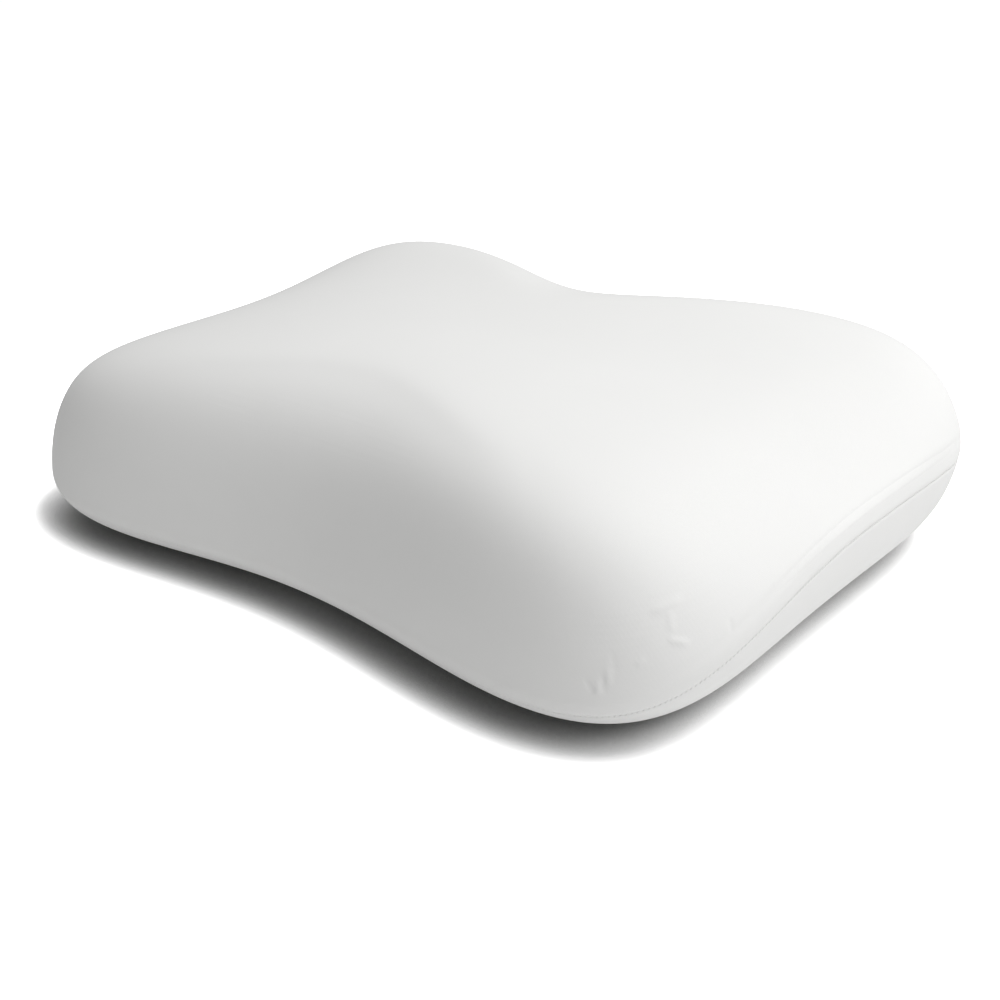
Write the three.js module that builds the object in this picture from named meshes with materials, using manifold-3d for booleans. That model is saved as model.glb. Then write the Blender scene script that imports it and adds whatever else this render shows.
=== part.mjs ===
// A contoured cervical traction pillow: a four-lobed moulded foam core in a thin liner, inside a knitted
// cover that opens with a zip on its flat underside.
//
// Millimetres, +Z up. The origin is on the ground under the middle of the pillow, +X runs along the long
// axis, and -Y is the lower, neck side. Every layer of the pillow is the same skin, moved inwards by its
// own inset, so the layers nest with an even gap.

import * as THREE from "three";
import { mergeVertices } from "three/addons/utils/BufferGeometryUtils.js";
import Module from "manifold-3d";

// ---- Driving dimensions of the pillow ----

const LENGTH = 500;
const WIDTH = 385;
const CORNER_POWER = 5.1; // 2 is an ellipse, and a high power is nearly a rectangle
const REAR_FLARE = 0.03; // how much longer the rear edge is than the middle, as a share of the length
const FRONT_WAIST = { depth: 0.145, reach: 162 }; // depth is a share of the half width
const REAR_WAIST = { depth: 0.215, reach: 114 };

// Heights of the crown above the ground, along the middle (x = 0) and at the ends of each row.
const FRONT_ROW = { middle: 108, end: 114 };
const CENTRE_ROW = { middle: 131, end: 93 };
const REAR_ROW = { middle: 123, end: 138 };
const HEAD_HOLLOW = { depth: 10.5, y: 26, reachX: 174, reachY: 88 };

// Heights of the rim, which is the widest line of the side wall.
const RIM = { middle: 26, end: 69, frontCorner: 18, rearCorner: 57 };

// The side wall's roundness: the plan power at a place EDGE_RADIUS from the middle, and the upright power.
const EDGE_RADIUS = 210;
const UPPER_EDGE = { plan: 8.6, upright: 1.5 };
const LOWER_EDGE = { plan: 10.8, upright: 2 };
const BASE_FLAT = 1.5; // the depth by which the underside is flattened

// ---- Layers, as depths below the outer skin ----

const COVER_THICKNESS = 1.6;
const LAYER_GAP = 0.6;
const LINER_OUTSIDE = COVER_THICKNESS + LAYER_GAP;
const LINER_THICKNESS = 1;
const CORE_OUTSIDE = LINER_OUTSIDE + LINER_THICKNESS + LAYER_GAP;

const SEAM = { belowRim: 10, width: 2, proud: 0.5 };
const FIT_GAP = 0.3;
const LABEL = { width: 34, belowRim: 12.5, lowestTilt: 1.32, gap: 1.3, thickness: 0.5, steps: 6 };

// ---- The zip, on the underside ----

const ZIP = { y: 70, level: 5.2, closedEnd: 150, openEnd: -135 };
const COIL = { slit: 1.4, width: 2.5, height: 2.4, pitch: 6, notch: 0.9 };
const TOOTH = { crest: 0.6, notchStart: 0.7, notchEnd: 0.9 }; // shares of the pitch
const TAPE = { thickness: 0.6, halfWidth: 13.4, slit: 0.4 };
const SLOT = { closedEnd: 156, openEnd: -166, halfWidth: 12 };
const LIP_THICKNESS = 1.6;
const CHANNEL_CLEARANCE = 1;
const CHANNEL_TOP = 8.6;

const SLIDER = { length: 11, plate: 1, sideGap: 0.3, flange: 0.9, tailShare: 0.8 };
const POST = { fromNose: 1, length: 2.5, width: 0.8 }; // it joins the slider's two plates between the coils
const BRIDGE = { length: 4.8, width: 2, leg: 0.8, opening: 1.5, bar: 0.7 };
const TAB = { length: 26, thickness: 0.8, neck: 2.4, shoulder: 4, grip: 4, eye: 1.5, bar: 0.8 };
const TAB_WINDOW = { length: 4.6, width: 2.7, margin: 2 };
const STOP = { length: 2.5, grip: 1.8, clearance: 0.9 };

// ---- Mesh density ----

const BEARINGS = 48;
const UPPER_RINGS = 9;
const LOWER_RINGS = 7;
const DIFFERENCE_STEP = 0.02;
const MERGE_DISTANCE = 1e-3;
const THROUGH = 100; // a cut of this half size passes right through the slider
const HOLE_SEGMENTS = 8;

const wasm = await Module();
wasm.setup();

// ---- Solids ----

// A closed three.js geometry as a manifold-3d solid.
function toSolid(geometry) {
  const bare = geometry.clone();
  bare.deleteAttribute("normal");
  bare.deleteAttribute("uv");
  const merged = mergeVertices(bare, MERGE_DISTANCE);
  const mesh = new wasm.Mesh({
    numProp: 3,
    vertProperties: new Float32Array(merged.attributes.position.array),
    triVerts: new Uint32Array(merged.index.array),
  });
  return new wasm.Manifold(mesh);
}

function toGeometry(solid) {
  const mesh = solid.getMesh();
  const geometry = new THREE.BufferGeometry();
  geometry.setAttribute("position", new THREE.BufferAttribute(mesh.vertProperties, 3));
  geometry.setIndex(new THREE.BufferAttribute(mesh.triVerts, 1));
  geometry.computeVertexNormals();
  return geometry;
}

// A box between two corners.
function boxBetween([x0, y0, z0], [x1, y1, z1]) {
  const box = new THREE.BoxGeometry(x1 - x0, y1 - y0, z1 - z0);
  return box.translate((x0 + x1) / 2, (y0 + y1) / 2, (z0 + z1) / 2);
}

// An outline in XY, extruded upwards from z = bottom.
function plate(shape, bottom, thickness) {
  const geometry = new THREE.ExtrudeGeometry(shape, { depth: thickness, bevelEnabled: false });
  return geometry.translate(0, 0, bottom);
}

// A profile drawn as (y, z), extruded along X from x = start.
function barAlongX(shape, start, length) {
  const geometry = new THREE.ExtrudeGeometry(shape, { depth: length, bevelEnabled: false });
  geometry.applyMatrix4(new THREE.Matrix4().set(0, 0, 1, start, 1, 0, 0, 0, 0, 1, 0, 0, 0, 0, 0, 1));
  return geometry;
}

// A profile drawn as (x, z), extruded along -Y from y = start.
function barAlongY(shape, start, length) {
  const geometry = new THREE.ExtrudeGeometry(shape, { depth: length, bevelEnabled: false });
  geometry.applyMatrix4(new THREE.Matrix4().set(1, 0, 0, 0, 0, 0, -1, start, 0, 1, 0, 0, 0, 0, 0, 1));
  return geometry;
}

function polygon(points) {
  return new THREE.Shape(points.map(([x, y]) => new THREE.Vector2(x, y)));
}

// ---- The pillow's skin ----

// The rim in plan, seen along a bearing measured from +X towards +Y.
function rimAt(bearing) {
  const alongX = Math.abs(Math.cos(bearing)) / (LENGTH / 2);
  const alongY = Math.abs(Math.sin(bearing)) / (WIDTH / 2);
  const radius = (alongX ** CORNER_POWER + alongY ** CORNER_POWER) ** (-1 / CORNER_POWER);
  const x = radius * Math.cos(bearing);
  const y = radius * Math.sin(bearing);
  const waist = y < 0 ? FRONT_WAIST : REAR_WAIST;
  const pull = 1 - waist.depth * Math.exp(-((x / waist.reach) ** 2));
  return [x * (1 + (REAR_FLARE * y) / (WIDTH / 2)), y * pull];
}

// A row's height at a place along X, given as a share of the half length.
function rowHeight(row, share) {
  return row.middle + (row.end - row.middle) * share ** 2;
}

// The top's height: a parabola across three rows, less the shallow hollow for the head.
function crownHeight(x, y) {
  const alongX = x / (LENGTH / 2);
  const alongY = y / (WIDTH / 2);
  const front = (alongY * (alongY - 1)) / 2;
  const centre = 1 - alongY ** 2;
  const rear = (alongY * (alongY + 1)) / 2;
  const swell = [
    front * rowHeight(FRONT_ROW, alongX),
    centre * rowHeight(CENTRE_ROW, alongX),
    rear * rowHeight(REAR_ROW, alongX),
  ].reduce((sum, height) => sum + height);
  const hollow = Math.exp(-((x / HEAD_HOLLOW.reachX) ** 2) - ((y - HEAD_HOLLOW.y) / HEAD_HOLLOW.reachY) ** 2);
  return swell - HEAD_HOLLOW.depth * hollow;
}

// The rim's height, which is lowest at the front corners and highest at the rear ones.
function rimHeight(x, y) {
  const alongX = (x / (LENGTH / 2)) ** 2;
  const alongY = (y / (WIDTH / 2)) ** 2;
  const corner = y < 0 ? RIM.frontCorner : RIM.rearCorner;
  return RIM.middle * (1 - alongX) + alongX * (corner * alongY + RIM.end * (1 - alongY));
}

// A point of the outer skin. tilt is 0 at the top's middle, 1 at the rim and 2 at the underside's middle.
function skinPoint(bearing, tilt) {
  const [rimX, rimY] = rimAt(bearing);
  const edge = tilt < 1 ? UPPER_EDGE : LOWER_EDGE;
  const planPower = (edge.plan * Math.hypot(rimX, rimY)) / EDGE_RADIUS;
  const share = Math.sin((1 - Math.abs(1 - tilt)) * (Math.PI / 2));
  const rise = (1 - share ** planPower) ** (1 / edge.upright);
  const x = share * rimX;
  const y = share * rimY;
  const rim = rimHeight(x, y);
  const z = tilt < 1 ? rim + (crownHeight(x, y) - rim) * rise : rim * (1 - rise);
  return new THREE.Vector3(x, y, Math.max(z - BASE_FLAT, 0));
}

// The skin point moved inwards by inset, square to the skin.
function layerPoint(bearing, tilt, inset) {
  const point = skinPoint(bearing, tilt);
  if (tilt === 0 || tilt === 2) return point.setZ(point.z + (tilt - 1) * inset);
  const around = skinPoint(bearing + DIFFERENCE_STEP, tilt).sub(skinPoint(bearing - DIFFERENCE_STEP, tilt));
  const lower = Math.min(tilt + DIFFERENCE_STEP, 2);
  const upper = Math.max(tilt - DIFFERENCE_STEP, 0);
  const down = skinPoint(bearing, lower).sub(skinPoint(bearing, upper));
  const outwards = down.cross(around).normalize();
  return point.addScaledVector(outwards, -inset);
}

// The tilt of the line that runs at a set drop below the rim.
function tiltBelowRim(bearing, drop) {
  const [rimX, rimY] = rimAt(bearing);
  const planPower = (LOWER_EDGE.plan * Math.hypot(rimX, rimY)) / EDGE_RADIUS;
  const rise = (drop / rimHeight(rimX, rimY)) ** LOWER_EDGE.upright;
  return 2 - Math.asin((1 - rise) ** (1 / planPower)) / (Math.PI / 2);
}

// The rings that every layer is built on, from the top's middle to the underside's. Each is a function
// that gives the ring's tilt at a bearing. They leave room for the seam binding.
const SEAM_TOP = SEAM.belowRim - SEAM.width / 2;
const SEAM_BOTTOM = SEAM.belowRim + SEAM.width / 2;
const crownRings = Array.from({ length: UPPER_RINGS }, (_, i) => () => (i + 1) / UPPER_RINGS);
crownRings.push((bearing) => tiltBelowRim(bearing, SEAM_TOP - FIT_GAP));
const baseRings = Array.from({ length: LOWER_RINGS }, (_, i) => (bearing) => {
  const highest = tiltBelowRim(bearing, SEAM_BOTTOM + FIT_GAP);
  return THREE.MathUtils.lerp(highest, 2, i / LOWER_RINGS);
});

const bearings = Array.from({ length: BEARINGS }, (_, i) => (2 * Math.PI * i) / BEARINGS);

// Triangles between a ring of points that starts at index upper and one that starts at index lower.
function stripFaces(upper, lower) {
  return bearings.flatMap((_, i) => {
    const next = (i + 1) % BEARINGS;
    return [upper + i, lower + i, lower + next, upper + i, lower + next, upper + next];
  });
}

// Triangles between a pole and the ring of points that starts at index ring.
function fanFaces(pole, ring, isTop) {
  return bearings.flatMap((_, i) => {
    const next = (i + 1) % BEARINGS;
    return isTop ? [pole, ring + i, ring + next] : [pole, ring + next, ring + i];
  });
}

function ringPoints(tiltAt, inset) {
  return bearings.map((bearing) => layerPoint(bearing, tiltAt(bearing), inset));
}

// A closed body inside the skin.
function layerSolid(inset) {
  const rings = [...crownRings, ...baseRings];
  const poles = [layerPoint(0, 0, inset), layerPoint(0, 2, inset)];
  const points = [...poles, ...rings.flatMap((tiltAt) => ringPoints(tiltAt, inset))];
  const start = (ring) => poles.length + ring * BEARINGS;
  const strips = rings.slice(1).flatMap((_, ring) => stripFaces(start(ring), start(ring + 1)));
  const top = fanFaces(0, start(0), true);
  const base = fanFaces(1, start(rings.length - 1), false);
  const faces = [...top, ...strips, ...base];
  return toSolid(new THREE.BufferGeometry().setFromPoints(points).setIndex(faces));
}

// A sheet of the cover over a list of rings, from the highest to the lowest. It stands proud of the skin and
// reaches COVER_THICKNESS below it. pole is "top" or "base" where the sheet covers that pole.
function sheetSolid(rings, proud, pole) {
  const points = [];
  const faces = [];
  const sides = [-proud, COVER_THICKNESS].map((inset) => {
    const poleIndex = points.length;
    if (pole) points.push(layerPoint(0, pole === "top" ? 0 : 2, inset));
    const starts = rings.map((tiltAt) => {
      points.push(...ringPoints(tiltAt, inset));
      return points.length - BEARINGS;
    });
    const strips = starts.slice(1).flatMap((start, ring) => stripFaces(starts[ring], start));
    const fan = pole ? fanFaces(poleIndex, pole === "top" ? starts[0] : starts.at(-1), pole === "top") : [];
    return { starts, faces: [...strips, ...fan] };
  });
  const [outer, inner] = sides;
  faces.push(...outer.faces, ...[...inner.faces].reverse());
  if (pole !== "top") faces.push(...stripFaces(inner.starts[0], outer.starts[0]));
  if (pole !== "base") faces.push(...stripFaces(outer.starts.at(-1), inner.starts.at(-1)));
  return toSolid(new THREE.BufferGeometry().setFromPoints(points).setIndex(faces));
}

// ---- The pillow's pieces ----

// A box around the zip, wider than the slot in the cover by margin on every side.
function zipBox(margin, bottom, top) {
  const low = [SLOT.openEnd - margin, ZIP.y - SLOT.halfWidth - margin, bottom];
  const high = [SLOT.closedEnd + margin, ZIP.y + SLOT.halfWidth + margin, top];
  return toSolid(boxBetween(low, high));
}

const CHANNEL_MARGIN = LIP_THICKNESS + TAPE.halfWidth - SLOT.halfWidth;

function foamCore() {
  return layerSolid(CORE_OUTSIDE).subtract(zipBox(CHANNEL_MARGIN + CHANNEL_CLEARANCE, -1, CHANNEL_TOP));
}

// The liner is left open over the zip, which is where the core is put in.
function innerLiner() {
  const shell = layerSolid(LINER_OUTSIDE).subtract(layerSolid(LINER_OUTSIDE + LINER_THICKNESS));
  return shell.subtract(zipBox(CHANNEL_MARGIN + CHANNEL_CLEARANCE / 2, -1, CHANNEL_TOP));
}

function coverTop() {
  return sheetSolid(crownRings, 0, "top");
}

// The base panel has a slot for the zip, with a hem that stands up to the zip's tapes.
function coverBase() {
  const hemTop = ZIP.level - TAPE.thickness / 2 - FIT_GAP;
  const panel = sheetSolid(baseRings, 0, "base").add(zipBox(LIP_THICKNESS, 0, hemTop));
  return panel.subtract(zipBox(0, -1, hemTop + 1));
}

function seamBinding() {
  const edge = (drop) => (bearing) => tiltBelowRim(bearing, drop);
  return sheetSolid([edge(SEAM_TOP), edge(SEAM_BOTTOM)], SEAM.proud, null);
}

// A blank label that hangs from the rear seam's middle and lies along the underside.
function careLabel() {
  const rear = Math.PI / 2;
  const highest = tiltBelowRim(rear, LABEL.belowRim);
  const profile = (inset) =>
    Array.from({ length: LABEL.steps + 1 }, (_, i) => {
      const tilt = THREE.MathUtils.lerp(highest, LABEL.lowestTilt, i / LABEL.steps);
      const point = layerPoint(rear, tilt, inset);
      return [point.y, point.z];
    });
  const points = [...profile(-LABEL.gap), ...profile(-LABEL.gap - LABEL.thickness).reverse()];
  return toSolid(barAlongX(polygon(points), -LABEL.width / 2, LABEL.width));
}

// ---- The zip's pieces, drawn around the zip's own centre line, with z = 0 in the middle of the tapes ----

const COIL_INSIDE = COIL.slit / 2;
const COIL_OUTSIDE = COIL_INSIDE + COIL.width;

// side is 1 for the rear half of the zip and -1 for the front half. Beyond the stops the tapes nearly meet.
function zipTape(side) {
  const atCoil = COIL_OUTSIDE + FIT_GAP;
  const atSlit = TAPE.slit / 2;
  const pastStop = STOP.length + STOP.clearance;
  const ends = [SLOT.openEnd - LIP_THICKNESS, SLOT.closedEnd + LIP_THICKNESS];
  const points = [
    [ends[0], TAPE.halfWidth],
    [ends[0], atSlit],
    [ZIP.openEnd - pastStop, atSlit],
    [ZIP.openEnd - pastStop, atCoil],
    [ZIP.closedEnd + pastStop, atCoil],
    [ZIP.closedEnd + pastStop, atSlit],
    [ends[1], atSlit],
    [ends[1], TAPE.halfWidth],
  ];
  const outline = polygon(points.map(([x, y]) => [x, side * y]));
  return toSolid(plate(outline, -TAPE.thickness / 2, TAPE.thickness));
}

// One row of teeth: a rail with a notch between each tooth and the next.
function zipCoil(side) {
  const teeth = Math.floor((ZIP.closedEnd - ZIP.openEnd) / COIL.pitch);
  const points = [[ZIP.openEnd, side * COIL_OUTSIDE]];
  for (let tooth = 0; tooth < teeth; tooth++) {
    const start = ZIP.openEnd + tooth * COIL.pitch;
    points.push([start, side * COIL_INSIDE]);
    points.push([start + COIL.pitch * TOOTH.crest, side * COIL_INSIDE]);
    points.push([start + COIL.pitch * TOOTH.notchStart, side * (COIL_INSIDE + COIL.notch)]);
    points.push([start + COIL.pitch * TOOTH.notchEnd, side * (COIL_INSIDE + COIL.notch)]);
  }
  points.push([ZIP.closedEnd, side * COIL_INSIDE]);
  points.push([ZIP.closedEnd, side * COIL_OUTSIDE]);
  return toSolid(plate(polygon(points), -COIL.height / 2, COIL.height));
}

// A stop is a metal clip around the tape's inner edge, beyond the end of the teeth.
function stopProfile(side) {
  const half = COIL.height / 2;
  const tapeEdge = TAPE.thickness / 2 + FIT_GAP;
  const outside = COIL_OUTSIDE + STOP.grip;
  const points = [
    [COIL_INSIDE, -half],
    [outside, -half],
    [outside, -tapeEdge],
    [COIL_OUTSIDE, -tapeEdge],
    [COIL_OUTSIDE, tapeEdge],
    [outside, tapeEdge],
    [outside, half],
    [COIL_INSIDE, half],
  ];
  return polygon(points.map(([y, z]) => [side * y, z]));
}

function topStop(side) {
  return toSolid(barAlongX(stopProfile(side), ZIP.closedEnd + FIT_GAP, STOP.length));
}

// The bottom stop holds both tapes, so it is two clips joined across the slit.
function bottomStop() {
  const start = ZIP.openEnd - FIT_GAP - STOP.length;
  const half = COIL.height / 2;
  const clips = [1, -1].map((side) => toSolid(barAlongX(stopProfile(side), start, STOP.length)));
  const bridge = boxBetween([start, -COIL_OUTSIDE, -half], [start + STOP.length, COIL_OUTSIDE, half]);
  return clips[0].add(clips[1]).add(toSolid(bridge));
}

// The slider's outline: straight sides, a round nose towards the closed end, and a narrower tail.
function sliderOutline(halfWidth) {
  const nose = SLIDER.length / 2;
  const noseStart = nose / 2;
  const tailStart = -nose / 3;
  const tailHalf = halfWidth * SLIDER.tailShare;
  const shape = new THREE.Shape();
  shape.moveTo(-nose, -tailHalf);
  shape.lineTo(tailStart, -halfWidth);
  shape.lineTo(noseStart, -halfWidth);
  shape.quadraticCurveTo(nose, -halfWidth, nose, 0);
  shape.quadraticCurveTo(nose, halfWidth, noseStart, halfWidth);
  shape.lineTo(tailStart, halfWidth);
  shape.lineTo(-nose, tailHalf);
  return shape;
}

// A bridge on the slider's outside face, which holds the pull tab: an arch drawn as (x, z).
function sliderBridge(face) {
  const half = BRIDGE.length / 2;
  const mouth = face - BRIDGE.opening;
  const foot = mouth - BRIDGE.bar;
  const inside = half - BRIDGE.leg;
  const arch = polygon([
    [-half, face + SLIDER.plate / 2],
    [-half, mouth],
    [-inside, foot],
    [inside, foot],
    [half, mouth],
    [half, face + SLIDER.plate / 2],
    [inside, face + SLIDER.plate / 2],
    [inside, mouth],
    [-inside, mouth],
    [-inside, face + SLIDER.plate / 2],
  ]);
  return toSolid(barAlongY(arch, BRIDGE.width / 2, BRIDGE.width));
}

const CAVITY = { halfHeight: COIL.height / 2 + SLIDER.sideGap, halfWidth: COIL_OUTSIDE + SLIDER.sideGap };
const SLIDER_FACE = -CAVITY.halfHeight - SLIDER.plate;

// A box centred on the slider's middle, given by its half sizes.
function room(halfLength, halfWidth, halfHeight) {
  return toSolid(new THREE.BoxGeometry(2 * halfLength, 2 * halfWidth, 2 * halfHeight));
}

// Two shells joined by a post in the nose, with room between them for the coils and the tapes.
function zipSlider() {
  const halfWidth = CAVITY.halfWidth + SLIDER.flange;
  const block = toSolid(plate(sliderOutline(halfWidth), SLIDER_FACE, -2 * SLIDER_FACE));
  const coilRoom = room(THROUGH, CAVITY.halfWidth, CAVITY.halfHeight);
  const tapeRoom = room(THROUGH, THROUGH, TAPE.thickness / 2 + SLIDER.sideGap);
  const postEnd = SLIDER.length / 2 - POST.fromNose;
  const postTop = CAVITY.halfHeight + SLIDER.plate / 2;
  const post = boxBetween(
    [postEnd - POST.length, -POST.width / 2, -postTop],
    [postEnd, POST.width / 2, postTop],
  );
  const shells = block.subtract(coilRoom).subtract(tapeRoom);
  return shells.add(toSolid(post)).add(sliderBridge(SLIDER_FACE));
}

// The pull tab, drawn around its own hinge, with its grip towards -X. The bridge passes through its window.
function pullTab() {
  const front = TAB.bar / 2;
  const windowFront = -TAB.bar / 2;
  const windowBack = windowFront - TAB_WINDOW.length;
  const neckEnd = windowBack - TAB_WINDOW.margin;
  const gripStart = neckEnd - TAB.shoulder;
  const gripCentre = -TAB.length + TAB.grip;
  const outline = new THREE.Shape();
  outline.moveTo(front, -TAB.neck);
  outline.lineTo(front, TAB.neck);
  outline.lineTo(neckEnd, TAB.neck);
  outline.lineTo(gripStart, TAB.grip);
  outline.lineTo(gripCentre, TAB.grip);
  outline.absarc(gripCentre, 0, TAB.grip, Math.PI / 2, (3 * Math.PI) / 2, false);
  outline.lineTo(gripStart, -TAB.grip);
  outline.lineTo(neckEnd, -TAB.neck);
  const window = polygon([
    [windowFront, -TAB_WINDOW.width / 2],
    [windowBack, -TAB_WINDOW.width / 2],
    [windowBack, TAB_WINDOW.width / 2],
    [windowFront, TAB_WINDOW.width / 2],
  ]);
  const eye = new THREE.Path().absarc(gripCentre, 0, TAB.eye, 0, 2 * Math.PI, true);
  outline.holes.push(window, eye);
  const depth = TAB.thickness;
  const options = { depth, bevelEnabled: false, curveSegments: HOLE_SEGMENTS };
  const geometry = new THREE.ExtrudeGeometry(outline, options);
  return toSolid(geometry.translate(0, 0, -depth / 2));
}

// ---- The assembly ----

const knit = { color: 0xf4f4f2, roughness: 0.95, metalness: 0 };
const webbing = { color: 0xececea, roughness: 0.85, metalness: 0 };
const nylon = { color: 0xf0f0ee, roughness: 0.45, metalness: 0 };
const lacquer = { color: 0xe6e6e4, roughness: 0.35, metalness: 0.2 };
const aluminium = { color: 0xc9cbcc, roughness: 0.35, metalness: 0.9 };

function part(name, solid, look) {
  const mesh = new THREE.Mesh(toGeometry(solid), new THREE.MeshStandardMaterial(look));
  mesh.name = name;
  return mesh;
}

const pillow = new THREE.Group();
pillow.add(
  part("foam_core", foamCore(), { color: 0xf3eee0, roughness: 1, metalness: 0 }),
  part("inner_liner", innerLiner(), { color: 0xfafafa, roughness: 0.9, metalness: 0 }),
  part("cover_top", coverTop(), knit),
  part("cover_base", coverBase(), knit),
  part("seam_binding", seamBinding(), webbing),
  part("care_label", careLabel(), webbing),
);

const zip = new THREE.Group();
zip.position.set(0, ZIP.y, ZIP.level);
zip.add(
  part("zipper_tape_front", zipTape(-1), webbing),
  part("zipper_tape_rear", zipTape(1), webbing),
  part("zipper_coil_front", zipCoil(-1), nylon),
  part("zipper_coil_rear", zipCoil(1), nylon),
  part("zipper_top_stop_front", topStop(-1), aluminium),
  part("zipper_top_stop_rear", topStop(1), aluminium),
  part("zipper_bottom_stop", bottomStop(), aluminium),
);

const slider = new THREE.Group();
slider.position.x = ZIP.closedEnd - SLIDER.length / 2 - FIT_GAP;
slider.add(part("zipper_slider", zipSlider(), lacquer));

const pull = new THREE.Group();
pull.position.z = SLIDER_FACE - BRIDGE.opening / 2;
pull.add(part("zipper_pull_tab", pullTab(), lacquer));
slider.add(pull);
zip.add(slider);

const device = new THREE.Group();
device.add(pillow, zip);

export default device;
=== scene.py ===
"""The looks of a contoured cervical traction pillow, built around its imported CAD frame.

Shapes are worked out in millimetres from the driving dimensions below, in the same design as the frame, and
MM turns them into the frame's metres. The cover, the liner and the foam core are layers of one skin.
"""

import math

import bmesh
import bpy
import numpy as np
from mathutils import Matrix, Vector
from mathutils.kdtree import KDTree


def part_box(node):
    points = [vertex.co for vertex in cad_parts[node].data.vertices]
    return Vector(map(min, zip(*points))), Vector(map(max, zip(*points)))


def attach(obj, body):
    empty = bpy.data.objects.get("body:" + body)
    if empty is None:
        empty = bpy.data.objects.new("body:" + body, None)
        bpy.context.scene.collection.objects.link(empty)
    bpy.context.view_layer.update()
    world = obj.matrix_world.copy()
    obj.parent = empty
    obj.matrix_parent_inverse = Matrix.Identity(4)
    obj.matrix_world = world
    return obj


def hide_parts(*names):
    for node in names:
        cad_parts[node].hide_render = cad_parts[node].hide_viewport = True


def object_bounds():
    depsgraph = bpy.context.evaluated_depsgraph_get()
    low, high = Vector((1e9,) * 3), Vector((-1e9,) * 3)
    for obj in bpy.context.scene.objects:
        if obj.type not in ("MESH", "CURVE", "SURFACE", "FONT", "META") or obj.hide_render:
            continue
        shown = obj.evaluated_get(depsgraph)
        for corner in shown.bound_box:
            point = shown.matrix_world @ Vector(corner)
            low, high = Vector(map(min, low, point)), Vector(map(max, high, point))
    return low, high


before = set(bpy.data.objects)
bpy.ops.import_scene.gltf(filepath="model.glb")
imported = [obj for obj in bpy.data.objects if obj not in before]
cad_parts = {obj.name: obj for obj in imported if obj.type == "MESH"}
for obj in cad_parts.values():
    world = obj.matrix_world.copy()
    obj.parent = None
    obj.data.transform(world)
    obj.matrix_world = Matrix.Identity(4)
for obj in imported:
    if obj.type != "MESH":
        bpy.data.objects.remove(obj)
CAD_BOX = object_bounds()

DESIGN_LENGTH = 505.1
MM = (CAD_BOX[1].x - CAD_BOX[0].x) / DESIGN_LENGTH

# ---- Driving dimensions of the skin, in millimetres ----

LENGTH = 500
WIDTH = 385
CORNER_POWER = 5.1
REAR_FLARE = 0.03
FRONT_WAIST = {"depth": 0.145, "reach": 162}
REAR_WAIST = {"depth": 0.215, "reach": 114}
FRONT_ROW = {"middle": 108, "end": 114}
CENTRE_ROW = {"middle": 131, "end": 93}
REAR_ROW = {"middle": 123, "end": 138}
HEAD_HOLLOW = {"depth": 10.5, "y": 26, "reach_x": 174, "reach_y": 88}
RIM = {"middle": 26, "end": 69, "front_corner": 18, "rear_corner": 57}
EDGE_RADIUS = 210
UPPER_EDGE = {"plan": 8.6, "upright": 1.5}
LOWER_EDGE = {"plan": 10.8, "upright": 2}
BASE_FLAT = 1.5

# ---- Layers, as depths below the skin ----

SEAM_DROP = 10  # the seam runs this far below the rim
COVER_START = 1.0  # the cover is cut this much small, and swells towards the skin
COVER_THICKNESS = 1.1
LINER_OUTSIDE = 2.2
LINER_THICKNESS = 1.0
CORE_OUTSIDE = 3.8

# ---- The zip's slot in the base ----

ZIP_Y = 70
SLOT = {"open_end": -166, "closed_end": 156, "half_width": 12, "corner": 1.5}
HEM_HEIGHT = 4.4
SLOT_APPROACH = (11, 8.5, 6.8, 5.6, 4.8, 4.2, 3.6, 3.0, 2.4, 1.6, 1.1)  # rings this far outside the slot
HEM_FOLD = 0.8  # the radius of the hem's turn into the slot
HEM_STEPS = 4
HEM_GROOVE = {"margin": 3.6, "depth": 0.5, "width": 0.9}  # the hem's stitches sink the fabric along here
POCKET_MARGIN = 4
POCKET_TOP = 8.6
LINER_MARGIN = 3.5

# ---- Grids ----

CELLS = 112  # cells along each side of the top's grid
AROUND = 4 * CELLS
WALL_DROPS = (1.5, 3.5, 5.5, 7, 8, 8.8, 9.4, 9.8, SEAM_DROP)
FOOT_DROPS = (SEAM_DROP, 10.2, 10.6, 11.2, 12, 13, 14.2)
FOOT_RINGS = 12
FLAT_SHARE = 0.8  # inside this share of the rim the underside is nearly flat
FLAT_RINGS = 12
SLOT_MARGIN = 14  # the evenly spaced rings end this far from the slot
RIM_CORNERS = (0, 0.1, 0.4, 0.6, 0.9, 1)  # the way round to the rim's corners, which face the slot's


# ---- The skin ----


def rim_at(bearing):
    """The rim's x and y, seen along a bearing from +X towards +Y."""
    along_x = np.abs(np.cos(bearing)) / (LENGTH / 2)
    along_y = np.abs(np.sin(bearing)) / (WIDTH / 2)
    radius = (along_x**CORNER_POWER + along_y**CORNER_POWER) ** (-1 / CORNER_POWER)
    x = radius * np.cos(bearing)
    y = radius * np.sin(bearing)
    depth = np.where(y < 0, FRONT_WAIST["depth"], REAR_WAIST["depth"])
    reach = np.where(y < 0, FRONT_WAIST["reach"], REAR_WAIST["reach"])
    pull = 1 - depth * np.exp(-((x / reach) ** 2))
    return x * (1 + REAR_FLARE * y / (WIDTH / 2)), y * pull


def row_height(row, share):
    return row["middle"] + (row["end"] - row["middle"]) * share**2


def crown_height(x, y):
    along_x = x / (LENGTH / 2)
    along_y = y / (WIDTH / 2)
    front = along_y * (along_y - 1) / 2 * row_height(FRONT_ROW, along_x)
    centre = (1 - along_y**2) * row_height(CENTRE_ROW, along_x)
    rear = along_y * (along_y + 1) / 2 * row_height(REAR_ROW, along_x)
    from_hollow = ((y - HEAD_HOLLOW["y"]) / HEAD_HOLLOW["reach_y"]) ** 2
    hollow = np.exp(-((x / HEAD_HOLLOW["reach_x"]) ** 2) - from_hollow)
    return front + centre + rear - HEAD_HOLLOW["depth"] * hollow


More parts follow.
